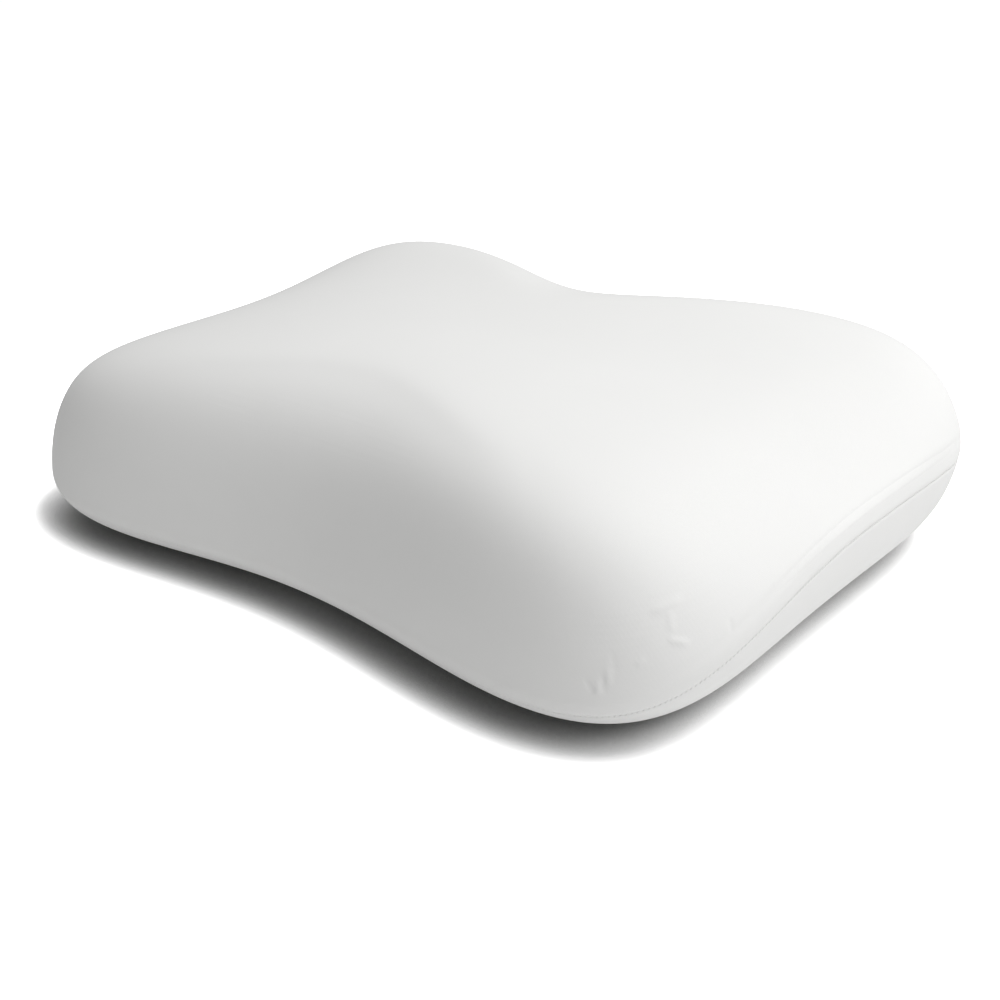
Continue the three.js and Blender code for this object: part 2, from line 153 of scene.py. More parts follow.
def rim_height(x, y):
    along_x = (x / (LENGTH / 2)) ** 2
    along_y = (y / (WIDTH / 2)) ** 2
    corner = np.where(y < 0, RIM["front_corner"], RIM["rear_corner"])
    end = corner * along_y + RIM["end"] * (1 - along_y)
    return RIM["middle"] * (1 - along_x) + along_x * end


def plan_power(edge, bearing):
    return edge["plan"] * np.hypot(*rim_at(bearing)) / EDGE_RADIUS


def skin(bearing, tilt):
    """Points of the skin. Tilt is 0 at the top's middle, 1 at the rim and 2 at the underside's middle."""
    bearing, tilt = np.broadcast_arrays(bearing, tilt)
    share = np.sin((1 - np.abs(1 - tilt)) * np.pi / 2)
    rim_x, rim_y = rim_at(bearing)
    x = share * rim_x
    y = share * rim_y
    upper = np.maximum(1 - share ** plan_power(UPPER_EDGE, bearing), 0) ** (1 / UPPER_EDGE["upright"])
    lower = np.maximum(1 - share ** plan_power(LOWER_EDGE, bearing), 0) ** (1 / LOWER_EDGE["upright"])
    rim = rim_height(x, y)
    z = np.where(tilt < 1, rim + (crown_height(x, y) - rim) * upper, rim * (1 - lower))
    return np.stack([x, y, np.maximum(z - BASE_FLAT, 0)], -1)


def layer(bearing, tilt, inset):
    """Points of the skin, moved inwards by inset."""
    step = 0.02
    around = skin(bearing + step, tilt) - skin(bearing - step, tilt)
    down = skin(bearing, np.minimum(tilt + step, 2)) - skin(bearing, np.maximum(tilt - step, 0))
    outwards = np.cross(down, around)
    size = np.linalg.norm(outwards, axis=-1, keepdims=True)
    at_pole = size < 1e-9
    outwards = np.where(at_pole, [0, 0, 1], outwards / np.where(at_pole, 1, size))
    return skin(bearing, tilt) - inset * outwards


def tilt_below_rim(bearing, drop):
    rise = (drop / rim_height(*rim_at(bearing))) ** LOWER_EDGE["upright"]
    return 2 - np.arcsin((1 - rise) ** (1 / plan_power(LOWER_EDGE, bearing))) / (np.pi / 2)


BEARING_TABLE = np.linspace(0, 2 * np.pi, 1441)
RIM_TABLE = np.stack(rim_at(BEARING_TABLE), -1)
RIM_DIRECTION = np.unwrap(np.arctan2(RIM_TABLE[:, 1], RIM_TABLE[:, 0]))
RIM_LENGTH = np.r_[0, np.cumsum(np.linalg.norm(np.diff(RIM_TABLE, axis=0), axis=1))]


def underside_height(x, y):
    direction = np.arctan2(y, x) % (2 * np.pi)
    bearing = np.interp(direction, RIM_DIRECTION, BEARING_TABLE)
    share = np.minimum(np.hypot(x, y) / np.hypot(*rim_at(bearing)), 1)
    rise = np.sqrt(1 - share ** plan_power(LOWER_EDGE, bearing))
    return np.maximum(rim_height(x, y) * (1 - rise) - BASE_FLAT, 0)


# ---- The grids that carry the skin ----


def even_bearings(around):
    """Bearings that are evenly spaced along the rim; around runs from 0 to 1."""
    return np.interp(around, RIM_LENGTH / RIM_LENGTH[-1], BEARING_TABLE)


def even_tilts(share):
    """Tilts from the top's middle (share 0) to the rim (share 1), evenly spaced along an average section."""
    tilts = np.linspace(0, 1, 201)
    sections = skin(np.linspace(0, 2 * np.pi, 37)[:, None], tilts[None, :])
    steps = np.linalg.norm(np.diff(sections, axis=1), axis=2).mean(0)
    length = np.r_[0, np.cumsum(steps)]
    return np.interp(share, length / length[-1], tilts)


def square_rings():
    """The ring and the share of the way round of each point in a square grid, row by row."""
    steps = np.arange(CELLS + 1) - CELLS // 2
    s, t = np.meshgrid(steps, steps, indexing="ij")
    ring = np.maximum(np.abs(s), np.abs(t))
    size = 8 * np.maximum(ring, 1)
    sides = [t / size, 1 / 4 - s / size, 1 / 2 - t / size]
    around = np.select([s == ring, t == ring, s == -ring], sides, 3 / 4 + s / size)
    return ring.ravel(), around.ravel() % 1


def top_points(inset):
    """The top from its middle to the seam: a square grid wrapped onto the skin."""
    ring, around = square_rings()
    bearing = even_bearings(around)
    rim_ring = CELLS // 2 - len(WALL_DROPS)
    tilt = even_tilts(ring / rim_ring)
    for i, drop in enumerate(WALL_DROPS):
        on_ring = ring == rim_ring + 1 + i
        tilt[on_ring] = tilt_below_rim(bearing[on_ring], drop)
    return layer(bearing, tilt, inset)


def top_faces():
    index = np.arange((CELLS + 1) ** 2).reshape(CELLS + 1, CELLS + 1)
    corners = [index[:-1, :-1], index[1:, :-1], index[1:, 1:], index[:-1, 1:]]
    return np.stack([c.ravel() for c in corners], -1)


def top_edge():
    """The indices of the top grid's outer ring, in order of bearing."""
    ring, around = square_rings()
    outer = np.flatnonzero(ring == CELLS // 2)
    return outer[np.argsort(around[outer])]


def slot_outline(margin):
    """A rounded rectangle around the zip's slot, margin outside it, with one point for each bearing."""
    radius = SLOT["corner"] + margin
    half_x = (SLOT["closed_end"] - SLOT["open_end"]) / 2 - SLOT["corner"]
    half_y = SLOT["half_width"] - SLOT["corner"]
    outline = [(half_x + radius, 0)]
    for quarter in range(4):
        for angle in np.linspace(quarter, quarter + 1, 7) * np.pi / 2:
            side_x = half_x if quarter in (0, 3) else -half_x
            side_y = half_y if quarter < 2 else -half_y
            outline.append((side_x + radius * math.cos(angle), side_y + radius * math.sin(angle)))
    outline = np.array([*outline, outline[0]])
    length = np.r_[0, np.cumsum(np.linalg.norm(np.diff(outline, axis=0), axis=1))]
    end = (half_y + radius * math.pi / 4) / length[-1]
    slot_shares = (0, end, 0.5 - end, 0.5 + end, 1 - end, 1)
    around = np.interp(np.arange(AROUND) / AROUND, RIM_CORNERS, slot_shares) * length[-1]
    x = np.interp(around, length, outline[:, 0]) + (SLOT["open_end"] + SLOT["closed_end"]) / 2
    y = np.interp(around, length, outline[:, 1]) + ZIP_Y
    return x, y


def base_rings(inset, flat_inset):
    """Rings of the underside, from the seam to SLOT_MARGIN outside the zip's slot.

    The inset turns from inset at the seam to flat_inset on the flat of the underside."""
    bearing = even_bearings(np.arange(AROUND) / AROUND)
    rings = [layer(bearing, tilt_below_rim(bearing, drop), inset) for drop in FOOT_DROPS]
    foot_tilt = tilt_below_rim(bearing, FOOT_DROPS[-1])
    flat_tilt = 2 - math.asin(FLAT_SHARE) / (math.pi / 2)
    for share in np.arange(1, FOOT_RINGS + 1) / FOOT_RINGS:
        tilt = foot_tilt * (1 - share) + flat_tilt * share
        rings.append(layer(bearing, tilt, inset * (1 - share) + flat_inset * share))
    start = rings[-1][:, :2]
    end = np.stack(slot_outline(SLOT_MARGIN), -1)
    for share in np.arange(1, FLAT_RINGS + 1) / FLAT_RINGS:
        x, y = (start * (1 - share) + end * share).T
        rings.append(np.stack([x, y, underside_height(x, y) + flat_inset], -1))
    return rings


def slot_ring(margin, z):
    x, y = slot_outline(margin)
    return np.stack([x, y, np.full(AROUND, z)], -1)


def ring_faces(first_rings):
    """Quads between rings; each entry holds the indices of one ring, from the highest to the lowest."""
    faces = []
    for upper, lower in zip(first_rings[:-1], first_rings[1:]):
        faces.append(np.stack([lower, np.roll(lower, -1), np.roll(upper, -1), upper], -1))
    return np.concatenate(faces)


def join_layer(top, rings):
    """One mesh from the top's points and the base's rings: its points, its quads and each ring's indices."""
    index = [top_edge()]
    for i in range(1, len(rings)):
        index.append(len(top) + (i - 1) * AROUND + np.arange(AROUND))
    quads = np.concatenate([top_faces(), ring_faces(index)])
    return np.concatenate([top, *rings[1:]]), quads, index


def tube_faces(count, sides):
    """Quads along a tube of count rings with that many sides, and a face across each end."""
    index = np.arange(count * sides).reshape(count, sides)
    near, far = index[:-1], index[1:]
    quads = np.stack([near, np.roll(near, -1, axis=1), np.roll(far, -1, axis=1), far], -1)
    return [*quads.reshape(-1, 4).tolist(), index[0][::-1].tolist(), index[-1].tolist()]


def strip_across(ring):
    """Faces that close a long, narrow ring, whose first point is at the middle of one end."""
    half = AROUND // 2
    near = ring[1 : half + 1]
    far = ring[::-1][:half]
    quads = np.stack([near[:-1], near[1:], far[1:], far[:-1]], -1)
    return [*quads[:-1].tolist(), [ring[0], ring[1], ring[-1]], [ring[half - 1], ring[half], ring[half + 1]]]


# ---- Meshes ----


def make_piece(name, points, faces, material):
    """A smooth-shaded mesh object from points in millimetres."""
    mesh = bpy.data.meshes.new(name)
    mesh.from_pydata((np.asarray(points) * MM).tolist(), [], [list(face) for face in faces])
    mesh.shade_smooth()
    if material:
        mesh.materials.append(material)
    piece = bpy.data.objects.new(name, mesh)
    bpy.context.scene.collection.objects.link(piece)
    return piece


def apply_modifiers(piece):
    """Replaces the piece's mesh by what its modifiers make of it."""
    evaluated = piece.evaluated_get(bpy.context.evaluated_depsgraph_get())
    mesh = bpy.data.meshes.new_from_object(evaluated)
    piece.modifiers.clear()
    piece.data = mesh
    mesh.name = piece.name


def subdivide(piece):
    smooth = piece.modifiers.new("smooth", "SUBSURF")
    smooth.levels = 1
    smooth.render_levels = 1
    apply_modifiers(piece)


def thicken(piece, thickness):
    """Gives a sheet a thickness, inwards from its face."""
    shell = piece.modifiers.new("shell", "SOLIDIFY")
    shell.thickness = thickness * MM
    shell.offset = -1
    apply_modifiers(piece)


def vertices(piece):
    co = np.empty(len(piece.data.vertices) * 3, np.float32)
    piece.data.vertices.foreach_get("co", co)
    return co.reshape(-1, 3).astype(float) / MM


def normals(piece):
    co = np.empty(len(piece.data.vertices) * 3, np.float32)
    piece.data.vertex_normals.foreach_get("vector", co)
    return co.reshape(-1, 3).astype(float)


def move_vertices(piece, points):
    piece.data.vertices.foreach_set("co", (points * MM).astype(np.float32).ravel())
    piece.data.update()


def outward_faces(piece):
    """Turns the faces of a closed mesh outwards."""
    solid = bmesh.new()
    solid.from_mesh(piece.data)
    bmesh.ops.recalc_face_normals(solid, faces=solid.faces)
    solid.to_mesh(piece.data)
    solid.free()


# ---- The cloth pass ----

SWELL_CAP = 1.2
SEAM_HOLD = 18  # the seam keeps the fabric this near it from swelling
CLOTH_FRAMES = 20
EVENING_PASSES = 60


def even_out(moves, quads, held):
    """Averages the moves of neighbouring points a few times, which leaves only the broad folds."""
    shares = np.bincount(quads.ravel(), minlength=len(moves))[:, None]
    for _ in range(EVENING_PASSES):
        middles = moves[quads].mean(1)
        gathered = [np.bincount(quads.ravel(), np.repeat(axis, 4), len(moves)) for axis in middles.T]
        moves = np.stack(gathered, -1) / shares
        moves[held] = 0
    return moves


def swell(points, quads, closing_faces, held):
    """Blows the cover's closed cage up as cloth. Held points stay, and no point moves more than SWELL_CAP."""
    cage = make_piece("cloth_cage", points, [*quads.tolist(), *closing_faces], None)
    cage.vertex_groups.new(name="held").add(held.tolist(), 1, "REPLACE")
    cloth = cage.modifiers.new("cloth", "CLOTH")
    cloth.collision_settings.use_collision = False
    settings = cloth.settings
    settings.quality = 6
    settings.mass = 0.2
    settings.tension_stiffness = 20
    settings.compression_stiffness = 3
    settings.bending_stiffness = 6
    settings.vertex_group_mass = "held"
    settings.use_pressure = True
    settings.uniform_pressure_force = 4
    settings.effector_weights.gravity = 0
    for number in range(1, CLOTH_FRAMES + 1):
        bpy.context.scene.frame_set(number)
    apply_modifiers(cage)
    moves = even_out(vertices(cage) - points, quads, held)
    bpy.data.objects.remove(cage)
    bpy.context.scene.frame_set(1)
    size = np.linalg.norm(moves, axis=1, keepdims=True)
    moves *= np.minimum(1, SWELL_CAP / np.maximum(size, 1e-9))
    distance, _ = from_seam(points)
    return points + moves * (1 - np.exp(-((distance / SEAM_HOLD) ** 2)))[:, None]


def cover_skin():
    """The cover's outside: the points of the top's grid, and the rings of the base from the seam inwards."""
    top = top_points(COVER_START)
    points, quads, index = join_layer(top, base_rings(COVER_START, 0))
    flat = index[len(FOOT_DROPS) + FOOT_RINGS - 1 :]
    held = np.concatenate([index[0], *flat])
    points = swell(points, quads, strip_across(index[-1]), held)
    return points[: len(top)], [points[ring] for ring in index]


# ---- The seam and the fabric's small folds ----

SEAM_TUCK = {"depth": 0.35, "reach": 1.2}
SEAM_ROLL = {"height": 0.25, "above": 5}

# The cover lies a little looser below a line along the +X end.
END_FOLD = {"above": 13, "depth": 1.3, "upper": 1.8, "lower": 9, "middle": 0.01, "reach": 0.075}

# Small creases above the seam at the corner between the front and the +X end. Places are millimetres round
# the seam from the corner and above the seam, leans are degrees from level, and a negative height is a tuck.
CREASE_CORNER = 0.905
CREASES = [
    {"along": 17, "above": 41, "length": 15, "lean": -4, "height": 0.42, "width": 2},
    {"along": 15, "above": 34, "length": 9, "lean": 68, "height": 0.24, "width": 2},
    {"along": 14, "above": 25, "length": 9, "lean": -38, "height": 0.38, "width": 1.7},
    {"along": -33, "above": 17, "length": 7, "lean": 117, "height": -0.3, "width": 1.5},
    {"along": -29, "above": 16, "length": 7, "lean": 80, "height": 0.35, "width": 1.6},
    {"along": -26, "above": 18, "length": 7, "lean": 80, "height": -0.25, "width": 1.4},
    {"along": -23, "above": 21, "length": 7, "lean": 80, "height": 0.3, "width": 1.5},
    {"along": -19, "above": 27, "length": 9, "lean": 85, "height": -0.15, "width": 1.8},
    {"along": -6, "above": 24, "length": 5, "lean": 20, "height": 0.2, "width": 1.6},
    {"along": 39, "above": 16, "length": 6, "lean": 72, "height": -0.2, "width": 1.6},
]
CREASE_PATCH = {"first": -45, "last": 50, "lowest": 3, "highest": 50, "cuts": 3}


def seam_line(inset, count):
    bearing = even_bearings(np.arange(count) / count)
    return layer(bearing, tilt_below_rim(bearing, SEAM_DROP), inset)


def from_seam(points):
    """For each point, its distance to the seam and how far round the seam it is, as a share of 1."""
    line = seam_line(COVER_START, 4 * AROUND)
    tree = KDTree(len(line))
    for i, point in enumerate(line):
        tree.insert(point, i)
    tree.balance()
    found = [tree.find(point)[1:] for point in points]
    index, distance = np.array(found).T
    return distance, index / len(line)


def roll_edge(piece, rolled):
    """Tucks the piece's edge in at the seam; a rolled edge also stands proud beyond the tuck."""
    points = vertices(piece)
    distance, _ = from_seam(points)
    move = -SEAM_TUCK["depth"] * np.exp(-((distance / SEAM_TUCK["reach"]) ** 2))
    if rolled:
        share = distance / SEAM_ROLL["above"]
        move += SEAM_ROLL["height"] * share * np.exp(1 - share) * np.exp(-((share / 4) ** 2))
    move_vertices(piece, points + normals(piece) * move[:, None])


def from_corner(around):
    """Millimetres round the seam from the creased corner, for shares of the way round."""
    return ((around - CREASE_CORNER + 0.5) % 1 - 0.5) * RIM_LENGTH[-1]


def refine_corner(piece):
    """Cuts the faces where the creases go into finer ones."""
    distance, around = from_seam(vertices(piece))
    along = from_corner(around)
    inside = (along > CREASE_PATCH["first"]) & (along < CREASE_PATCH["last"])
    inside &= (distance > CREASE_PATCH["lowest"]) & (distance < CREASE_PATCH["highest"])
    solid = bmesh.new()
    solid.from_mesh(piece.data)
    edges = [edge for edge in solid.edges if all(inside[vert.index] for vert in edge.verts)]
    cuts = CREASE_PATCH["cuts"]
    bmesh.ops.subdivide_edges(solid, edges=edges, cuts=cuts, use_grid_fill=True, smooth=1.0)
    for face in solid.faces:
        face.smooth = True
    solid.to_mesh(piece.data)
    solid.free()


def end_fold(distance, around):
    """How far the fold along the +X end moves each point, for its distance to the seam and its way round."""
    above = distance - END_FOLD["above"]
    height_share = above / np.where(above > 0, END_FOLD["upper"], END_FOLD["lower"])
    length_share = ((around - END_FOLD["middle"] + 0.5) % 1 - 0.5) / END_FOLD["reach"]
    return -END_FOLD["depth"] * np.exp(-(height_share**2)) * np.exp(-(length_share**4))


def crease(piece):
    """Presses the end fold and the corner's creases into the cover's top."""
    points = vertices(piece)
    distance, around = from_seam(points)
    along = from_corner(around)
    move = end_fold(distance, around)
    for one in CREASES:
        lean = math.radians(one["lean"])
        x = along - one["along"]
        y = distance - one["above"]
        length_way = (x * math.cos(lean) + y * math.sin(lean)) / (one["length"] / 2)
        width_way = (y * math.cos(lean) - x * math.sin(lean)) / one["width"]
        move += one["height"] * np.exp(-(width_way**2)) * np.exp(-(length_way**4))
    move_vertices(piece, points + normals(piece) * move[:, None])


def lay_weave(piece, is_top):
    """Stores where each point lies on the flat fabric, in metres, for the knit's pattern."""
    x, y, z = vertices(piece).T
    plan = np.maximum(np.hypot(x, y), 1)
    drop = np.maximum(crown_height(x, y) - z, 0) if is_top else z
    flat = np.stack([x * (1 + drop / plan), y * (1 + drop / plan), z * 0], -1) * MM
    weave = piece.data.attributes.new("weave", "FLOAT_VECTOR", "POINT")
    weave.data.foreach_set("vector", flat.astype(np.float32).ravel())


# ---- Thread ----

SEAM_STITCH = {"spacing": 2.6, "length": 2.0, "radius": 0.16, "slant": 0.7, "depth": 0.25}
HEM_STITCH = {"spacing": 4, "length": 3, "radius": 0.25, "depth": 0.4}
TAPE_STITCH = {"spacing": 2.4, "length": 1.8, "radius": 0.18, "depth": 0.33, "rows": (5.4, 10.4)}


def stitches(name, centres, alongs, ups, length, radius, material):
    """Short lengths of thread that lie on a surface, with their ends sunk into it."""
    share = np.array([-1, -0.8, -0.45, 0, 0.45, 0.8, 1])
    thickness = np.array([0.05, 0.7, 0.95, 1, 0.95, 0.7, 0.05])
    sides = 6
    turn = np.arange(sides) / sides * 2 * np.pi
    ring_x = np.repeat(share * length / 2, sides)
    ring_y = np.outer(thickness, np.cos(turn)).ravel() * radius
    ring_z = np.outer(thickness, np.sin(turn)).ravel() * radius - np.repeat(share**2, sides) * radius
    alongs = alongs / np.linalg.norm(alongs, axis=1, keepdims=True)
    across = np.cross(ups, alongs)
    across /= np.linalg.norm(across, axis=1, keepdims=True)
    ups = np.cross(alongs, across)
    points = centres[:, None] + ring_x[:, None] * alongs[:, None]
    points = points + ring_y[:, None] * across[:, None] + ring_z[:, None] * ups[:, None]
    faces = tube_faces(len(share), sides)
    all_faces = []
    for number in range(len(centres)):
        start = number * len(ring_x)
        all_faces += [[start + v for v in face] for face in faces]
    return make_piece(name, points.reshape(-1, 3), all_faces, material)


def even_along(line, spacing):
    """Points about spacing apart along a closed line, and the line's direction at each."""
    closed = np.concatenate([line, line[:1]])
    length = np.r_[0, np.cumsum(np.linalg.norm(np.diff(closed, axis=0), axis=1))]
    places = np.arange(0, 1, spacing / length[-1]) * length[-1]

    def at(places):
        return np.stack([np.interp(places % length[-1], length, axis) for axis in closed.T], -1)

    return at(places), at(places + spacing / 4) - at(places - spacing / 4)


# ---- Soft pieces ----


def cover_top(points, material):
    piece = make_piece("cover_top_panel", points, top_faces(), material)
    subdivide(piece)
    refine_corner(piece)
    roll_edge(piece, True)
    crease(piece)
    thicken(piece, COVER_THICKNESS)
    lay_weave(piece, True)
    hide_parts("cover_top")
    return piece


def hem_rings():
    """Rings from the flat of the base, over the hem's stitched groove, and up the wall of the zip's slot."""
    rings = []
    for margin in SLOT_APPROACH:
        groove = (margin - HEM_GROOVE["margin"]) / HEM_GROOVE["width"]
        rings.append(slot_ring(margin, HEM_GROOVE["depth"] * math.exp(-(groove**2))))
    for share in np.arange(0, HEM_STEPS + 1) / HEM_STEPS:
        turn = share * math.pi / 2
        margin = HEM_FOLD * (1 - math.sin(turn))
        rings.append(slot_ring(margin, HEM_FOLD * (1 - math.cos(turn))))
    for share in np.arange(1, HEM_STEPS + 1) / HEM_STEPS:
        rings.append(slot_ring(0, HEM_FOLD + share * (HEM_HEIGHT - HEM_FOLD)))
    return rings


def cover_base(rings, material):
    rings = [*rings, *hem_rings()]
    index = np.arange(len(rings) * AROUND).reshape(-1, AROUND)
    piece = make_piece("cover_base_panel", np.concatenate(rings), ring_faces(index), material)
    subdivide(piece)
    roll_edge(piece, False)
    thicken(piece, COVER_THICKNESS)
    lay_weave(piece, False)
    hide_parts("cover_base")
    return piece


def cover_pieces(materials):
    points, rings = cover_skin()
    upper = cover_top(points, materials["knit"])
    lower = cover_base(rings, materials["knit"])
    return [(upper, "cover_knit"), (lower, "cover_knit")]


def liner_piece(materials):
    rings = base_rings(LINER_OUTSIDE, LINER_OUTSIDE)
    rings.append(slot_ring(LINER_MARGIN, LINER_OUTSIDE))
    points, quads, _ = join_layer(top_points(LINER_OUTSIDE), rings)
    liner = make_piece("liner_jersey", points, quads, materials["liner"])
    thicken(liner, LINER_THICKNESS)
    lay_weave(liner, True)
    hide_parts("inner_liner")
    return [(liner, "liner")]


def foam_piece(materials):
    rings = base_rings(CORE_OUTSIDE, CORE_OUTSIDE)
    for z in np.linspace(CORE_OUTSIDE, POCKET_TOP, 4):
        rings.append(slot_ring(POCKET_MARGIN, z))
    points, quads, index = join_layer(top_points(CORE_OUTSIDE), rings)
    faces = [*quads.tolist(), *strip_across(index[-1])]
    core = make_piece("foam_core_moulded", points, faces, materials["foam"])
    outward_faces(core)
    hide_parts("foam_core")
    return [(core, "foam")]


def seam_thread(materials):
    """Slanting stitches in the tuck along the seam, which face outwards."""
    spacing = SEAM_STITCH["spacing"]
    centres, alongs = even_along(seam_line(COVER_START + SEAM_STITCH["depth"], 4 * AROUND), spacing)
    outside, _ = even_along(seam_line(0, 4 * AROUND), spacing)
    ups = outside[: len(centres)] - centres
    slant = alongs / np.linalg.norm(alongs, axis=1, keepdims=True) + np.array([0, 0, SEAM_STITCH["slant"]])
    size = (SEAM_STITCH["length"], SEAM_STITCH["radius"])
    thread = stitches("seam_stitching", centres, slant, ups, *size, materials["thread"])
    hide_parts("seam_binding")
    return [(thread, "webbing")]


def hem_thread(materials):
    """Stitches in the groove around the zip's slot, which face down."""
    x, y = slot_outline(HEM_GROOVE["margin"])
    line = np.stack([x, y, np.full(AROUND, HEM_STITCH["depth"])], -1)
    centres, alongs = even_along(line, HEM_STITCH["spacing"])
    ups = np.tile([0.0, 0.0, -1.0], (len(centres), 1))
    size = (HEM_STITCH["length"], HEM_STITCH["radius"])
    thread = stitches("hem_stitching", centres, alongs, ups, *size, materials["thread"])
    return [(thread, "webbing")]


# ---- The zip ----

COIL = {"pitch": 1.5, "centre": 1.95, "half_width": 1.25, "half_height": 1.05, "radius": 0.3}
COIL_STEPS = 12  # points along each turn of the coil
TAPE = {"inside": 0.75, "flat_points": 8, "stations": 60}
ZIP_LEVEL = 5.2
SLIDER_EDGE = 0.15  # the width of the bevels on the slider and its pull tab
STOP_EDGE = 0.12


def sweep(name, path, radius, material):
    """A thread along an open path that never runs along X for long."""
    sides = 6
    tangent = np.gradient(path, axis=0)
    tangent /= np.linalg.norm(tangent, axis=1, keepdims=True)
    side = np.cross(tangent, [1, 0, 0])
    side /= np.linalg.norm(side, axis=1, keepdims=True)
    up = np.cross(tangent, side)
    turn = np.arange(sides) / sides * 2 * np.pi
    points = path[:, None] + radius * (
        np.cos(turn)[None, :, None] * side[:, None] + np.sin(turn)[None, :, None] * up[:, None]
    )
    thread = make_piece(name, points.reshape(-1, 3), tube_faces(len(path), sides), material)
    outward_faces(thread)
    return thread


def coil(side, name, node, material):
    low, high = (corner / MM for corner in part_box(node))
    start = low.x + COIL["radius"]
    turns = int((high.x - low.x - 2 * COIL["radius"]) / COIL["pitch"])
    phase = np.linspace(0, turns, turns * COIL_STEPS + 1)
    across = (COIL["half_width"] - COIL["radius"]) * np.cos(phase * 2 * np.pi)
    x = start + phase * COIL["pitch"]
    y = ZIP_Y + side * (COIL["centre"] - across)
    z = ZIP_LEVEL + (COIL["half_height"] - COIL["radius"]) * np.sin(phase * 2 * np.pi)
    piece = sweep(name, np.stack([x, y, z], -1), COIL["radius"], material)
    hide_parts(node)
    return piece


def tape_profile(inner, outer, half):
    """The tape's section, across and up, from its middle line: flat faces between half-round edges."""
    turns = np.linspace(-0.5, 0.5, 5) * np.pi
    flat = np.linspace(outer - 1, inner + 1, TAPE["flat_points"])
    profile = [(outer - half + half * math.cos(a), half * math.sin(a)) for a in turns]
    profile += [(y, half) for y in flat]
    profile += [(inner + half - half * math.cos(a), half * math.sin(a)) for a in turns[::-1]]
    profile += [(y, -half) for y in flat[::-1]]
    return np.array(profile)


def tape(side, name, node, material):
    """A woven tape with rounded edges, which the coil's loops run around."""
    low, high = (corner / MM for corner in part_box(node))
    outer = high.y - ZIP_Y if side > 0 else ZIP_Y - low.y
    across, up = tape_profile(TAPE["inside"], outer, (high.z - low.z) / 2).T
    rings = []
    for x in np.linspace(low.x, high.x, TAPE["stations"]):
        rings.append(np.stack([np.full(len(across), x), ZIP_Y + side * across, ZIP_LEVEL + up], -1))
    faces = tube_faces(len(rings), len(across))
    piece = make_piece(name, np.concatenate(rings), faces, material)
    outward_faces(piece)
    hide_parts(node)
    return piece


def tape_thread(materials):
    """Two rows of thread on the face of each tape."""
    x = np.arange(SLOT["open_end"] + 2, SLOT["closed_end"] - 2, TAPE_STITCH["spacing"])
    near, far = TAPE_STITCH["rows"]
    centres = []
    for y in (-far, -near, near, far):
        centres.append(np.stack([x, x * 0 + ZIP_Y + y, x * 0 + ZIP_LEVEL - TAPE_STITCH["depth"]], -1))
    centres = np.concatenate(centres)
    alongs = np.tile([1.0, 0.0, 0.0], (len(centres), 1))
    ups = np.tile([0.0, 0.0, -1.0], (len(centres), 1))
    size = (TAPE_STITCH["length"], TAPE_STITCH["radius"])
    thread = stitches("tape_stitching", centres, alongs, ups, *size, materials["thread"])
    return [(thread, "webbing")]


def zip_pieces(materials):
    made = []
    for side, half in ((-1, "front"), (1, "rear")):
        teeth = coil(side, f"zip_coil_{half}", f"zipper_coil_{half}", materials["nylon"])
        woven = tape(side, f"zip_tape_{half}", f"zipper_tape_{half}", materials["tape"])
        made += [(teeth, "zip_coil"), (woven, "webbing")]
    return made


def finish_hard_node(node, material, bevel):
    """A better surface and softened edges for a hard CAD node, which keeps its own mesh."""
    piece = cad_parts[node]
    weld = piece.modifiers.new("weld", "WELD")
    weld.merge_threshold = 1e-6
    edges = piece.modifiers.new("edges", "BEVEL")
    edges.width = bevel * MM
    edges.segments = 3
    edges.limit_method = "ANGLE"
    edges.angle_limit = math.radians(35)
    edges.harden_normals = True
    piece.data.materials.clear()
    piece.data.materials.append(material)


# ---- The label ----

LABEL = {"below_rim": 12.5, "lowest_tilt": 1.32, "half_width": 17, "gap": 1.3, "thickness": 0.4}
LABEL_GRID = {"down": 25, "across": 21}
LABEL_CURL = {"corners": 1.2, "ripple": 0.25, "outwards": 0.8, "downwards": 0.2}


def label_piece(materials):
    """A blank label that hangs from the rear seam, with its free corners curled a little off the cover."""
    rear = np.array(math.pi / 2)
    highest = float(tilt_below_rim(rear, LABEL["below_rim"]))
    line = layer(rear, np.linspace(highest, LABEL["lowest_tilt"], LABEL_GRID["down"]), -LABEL["gap"])
    across = np.linspace(-1, 1, LABEL_GRID["across"])
    points = []
    for row, (_, y, z) in enumerate(line):
        down = row / (len(line) - 1)
        for share in across:
            curl = LABEL_CURL["corners"] * down**3 * share**2
            curl += LABEL_CURL["ripple"] * down * math.sin(3 * share + 2 * down)
            out = curl * LABEL_CURL["outwards"]
            points.append([share * LABEL["half_width"], y + out, z - curl * LABEL_CURL["downwards"]])
    index = np.arange(len(points)).reshape(len(line), len(across))
    corners = [index[1:, :-1], index[:-1, :-1], index[:-1, 1:], index[1:, 1:]]
    faces = np.stack([c.ravel() for c in corners], -1)
    label = make_piece("care_label_satin", points, faces.tolist(), materials["satin"])
    subdivide(label)
    thicken(label, LABEL["thickness"])
    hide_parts("care_label")
    return [(label, "label")]


# ---- Materials ----


def add(tree, kind, inputs=None, **settings):
    """A shader node, with its settings and its inputs, each a value or another node's output."""
    made = tree.nodes.new(kind)
    for name, value in settings.items():
        setattr(made, name, value)
    for name, value in (inputs or {}).items():
        if isinstance(value, bpy.types.NodeSocket):
            tree.links.new(value, made.inputs[name])
        else:
            made.inputs[name].default_value = value
    return made


def maths(tree, operation, first, second=0.0):
    made = tree.nodes.new("ShaderNodeMath")
    made.operation = operation
    for slot, value in zip(made.inputs, (first, second)):
        if isinstance(value, bpy.types.NodeSocket):
            tree.links.new(value, slot)
        else:
            slot.default_value = value
    return made.outputs[0]


